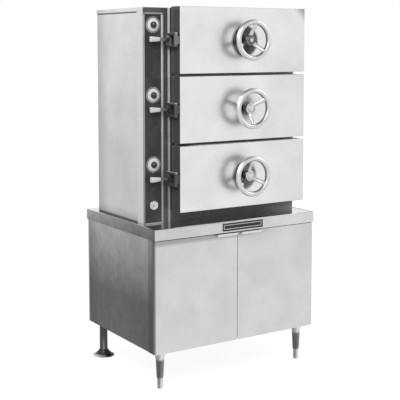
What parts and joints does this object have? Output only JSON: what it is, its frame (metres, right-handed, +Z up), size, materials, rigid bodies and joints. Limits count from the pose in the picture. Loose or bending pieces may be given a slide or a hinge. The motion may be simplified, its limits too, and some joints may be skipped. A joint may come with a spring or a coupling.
{
  "type": "pressure steamer",
  "caption": "Free-standing commercial pressure steamer: stacked steam chambers with screw-down swing doors over a boiler cabinet on legs.",
  "frame": {"origin": "on the floor, under the middle of the overall bounding box", "axes": "+Z up, -Y towards the front (doors and handwheels), +X to the right seen from the front"},
  "size_m": [0.914, 0.726, 1.753],
  "materials": {
    "leg_steel": "dark brushed steel",
    "chrome": "bright plating",
    "brushed_stainless": "brushed stainless steel",
    "polished_stainless": "finely polished stainless steel",
    "black_enamel": "gloss black",
    "boiler_steel": "heat-dulled steel",
    "painted_iron": "dark grey paint",
    "dial_white": "printed white",
    "black_plastic": "moulded black",
    "pale_plastic": "moulded off-white",
    "gasket_rubber": "moulded black"
  },
  "bodies": {
    "steamer_body": {"leg_front_left": "leg_steel", "foot_front_left": "chrome", "leg_rear_left": "leg_steel", "foot_rear_left": "leg_steel", "leg_front_right": "leg_steel", "foot_front_right": "chrome", "leg_rear_right": "leg_steel", "foot_rear_right": "leg_steel", "cabinet_casing": "brushed_stainless", "cabinet_top": "polished_stainless", "nameplate": "black_enamel", "boiler_tank": "boiler_steel", "immersion_heater": "painted_iron", "steam_header": "boiler_steel", "front_frame": "black_enamel", "upper_casing": "brushed_stainless", "top_cover": "brushed_stainless", "control_panel": "black_enamel", "panel_trim": "chrome", "trim_strip": "chrome", "gauge_case": "dial_white", "chamber_bottom": "brushed_stainless", "pan_rack_bottom": "brushed_stainless", "hinge_bracket_bottom": "painted_iron", "timer_bottom": "dial_white", "chamber_middle": "brushed_stainless", "pan_rack_middle": "brushed_stainless", "hinge_bracket_middle": "painted_iron", "timer_middle": "dial_white", "chamber_top": "brushed_stainless", "pan_rack_top": "brushed_stainless", "hinge_bracket_top": "painted_iron", "timer_top": "dial_white"},
    "cabinet_door_left": {"cabinet_door_left": "brushed_stainless"},
    "cabinet_door_right": {"cabinet_door_right": "brushed_stainless"},
    "gauge_needle": {"gauge_needle": "black_plastic"},
    "timer_knob_bottom": {"timer_knob_bottom": "black_plastic"},
    "valve_lever_bottom": {"valve_lever_bottom": "leg_steel", "lever_grip_bottom": "pale_plastic"},
    "steam_door_bottom": {"door_cover_bottom": "brushed_stainless", "door_arm_bottom": "painted_iron"},
    "handwheel_bottom": {"handwheel_bottom": "chrome"},
    "pressure_plate_bottom": {"pressure_plate_bottom": "polished_stainless", "gasket_bottom": "gasket_rubber"},
    "timer_knob_middle": {"timer_knob_middle": "black_plastic"},
    "valve_lever_middle": {"valve_lever_middle": "leg_steel", "lever_grip_middle": "pale_plastic"},
    "steam_door_middle": {"door_cover_middle": "brushed_stainless", "door_arm_middle": "painted_iron"},
    "handwheel_middle": {"handwheel_middle": "chrome"},
    "pressure_plate_middle": {"pressure_plate_middle": "polished_stainless", "gasket_middle": "gasket_rubber"},
    "timer_knob_top": {"timer_knob_top": "black_plastic"},
    "valve_lever_top": {"valve_lever_top": "leg_steel", "lever_grip_top": "pale_plastic"},
    "steam_door_top": {"door_cover_top": "brushed_stainless", "door_arm_top": "painted_iron"},
    "handwheel_top": {"handwheel_top": "chrome"},
    "pressure_plate_top": {"pressure_plate_top": "polished_stainless", "gasket_top": "gasket_rubber"}
  },
  "joints": [
    {"name": "cabinet_door_left_hinge", "type": "hinge", "parent": "steamer_body", "child": "cabinet_door_left", "pos_m": [-0.452, -0.3023, 0.434], "axis": [0, 0, -1], "range_deg": [0, 110]},
    {"name": "cabinet_door_right_hinge", "type": "hinge", "parent": "steamer_body", "child": "cabinet_door_right", "pos_m": [0.452, -0.3023, 0.434], "axis": [0, 0, 1], "range_deg": [0, 110]},
    {"name": "gauge_needle_turn", "type": "hinge", "parent": "steamer_body", "child": "gauge_needle", "pos_m": [-0.3845, -0.1934, 0.841], "axis": [0, 1, 0], "range_deg": [0, 270], "stiffness_Nm_per_rad": 0.0005},
    {"name": "timer_knob_bottom_turn", "type": "hinge", "parent": "steamer_body", "child": "timer_knob_bottom", "pos_m": [-0.3845, -0.1949, 1.029], "axis": [0, 1, 0], "range_deg": [0, 330]},
    {"name": "valve_lever_bottom_turn", "type": "hinge", "parent": "steamer_body", "child": "valve_lever_bottom", "pos_m": [-0.323, -0.221, 0.9635], "axis": [0, -1, 0], "range_deg": [0, 90]},
    {"name": "steam_door_bottom_hinge", "type": "hinge", "parent": "steamer_body", "child": "steam_door_bottom", "pos_m": [-0.304, -0.259, 0.9605], "axis": [0, 0, -1], "range_deg": [0, 110]},
    {"name": "handwheel_bottom_turn", "type": "hinge", "parent": "steam_door_bottom", "child": "handwheel_bottom", "pos_m": [0.065, -0.351, 0.9605], "axis": [0, -1, 0], "range_deg": [0, 540]},
    {"name": "pressure_plate_bottom_slide", "type": "slide", "parent": "steam_door_bottom", "child": "pressure_plate_bottom", "axis": [0, -1, 0], "range_m": [0, 0.00602]},
    {"name": "timer_knob_middle_turn", "type": "hinge", "parent": "steamer_body", "child": "timer_knob_middle", "pos_m": [-0.3845, -0.1949, 1.3485], "axis": [0, 1, 0], "range_deg": [0, 330]},
    {"name": "valve_lever_middle_turn", "type": "hinge", "parent": "steamer_body", "child": "valve_lever_middle", "pos_m": [-0.323, -0.221, 1.283], "axis": [0, -1, 0], "range_deg": [0, 90]},
    {"name": "steam_door_middle_hinge", "type": "hinge", "parent": "steamer_body", "child": "steam_door_middle", "pos_m": [-0.304, -0.259, 1.28], "axis": [0, 0, -1], "range_deg": [0, 110]},
    {"name": "handwheel_middle_turn", "type": "hinge", "parent": "steam_door_middle", "child": "handwheel_middle", "pos_m": [0.065, -0.351, 1.28], "axis": [0, -1, 0], "range_deg": [0, 540]},
    {"name": "pressure_plate_middle_slide", "type": "slide", "parent": "steam_door_middle", "child": "pressure_plate_middle", "axis": [0, -1, 0], "range_m": [0, 0.00602]},
    {"name": "timer_knob_top_turn", "type": "hinge", "parent": "steamer_body", "child": "timer_knob_top", "pos_m": [-0.3845, -0.1949, 1.668], "axis": [0, 1, 0], "range_deg": [0, 330]},
    {"name": "valve_lever_top_turn", "type": "hinge", "parent": "steamer_body", "child": "valve_lever_top", "pos_m": [-0.323, -0.221, 1.6025], "axis": [0, -1, 0], "range_deg": [0, 90]},
    {"name": "steam_door_top_hinge", "type": "hinge", "parent": "steamer_body", "child": "steam_door_top", "pos_m": [-0.304, -0.259, 1.5995], "axis": [0, 0, -1], "range_deg": [0, 110]},
    {"name": "handwheel_top_turn", "type": "hinge", "parent": "steam_door_top", "child": "handwheel_top", "pos_m": [0.065, -0.351, 1.5995], "axis": [0, -1, 0], "range_deg": [0, 540]},
    {"name": "pressure_plate_top_slide", "type": "slide", "parent": "steam_door_top", "child": "pressure_plate_top", "axis": [0, -1, 0], "range_m": [0, 0.00602]}
  ],
  "couplings": [
    {"joint": "pressure_plate_bottom_slide", "follows": "handwheel_bottom_turn", "m_per_rad": 0.00063662},
    {"joint": "pressure_plate_middle_slide", "follows": "handwheel_middle_turn", "m_per_rad": 0.00063662},
    {"joint": "pressure_plate_top_slide", "follows": "handwheel_top_turn", "m_per_rad": 0.00063662}
  ]
}
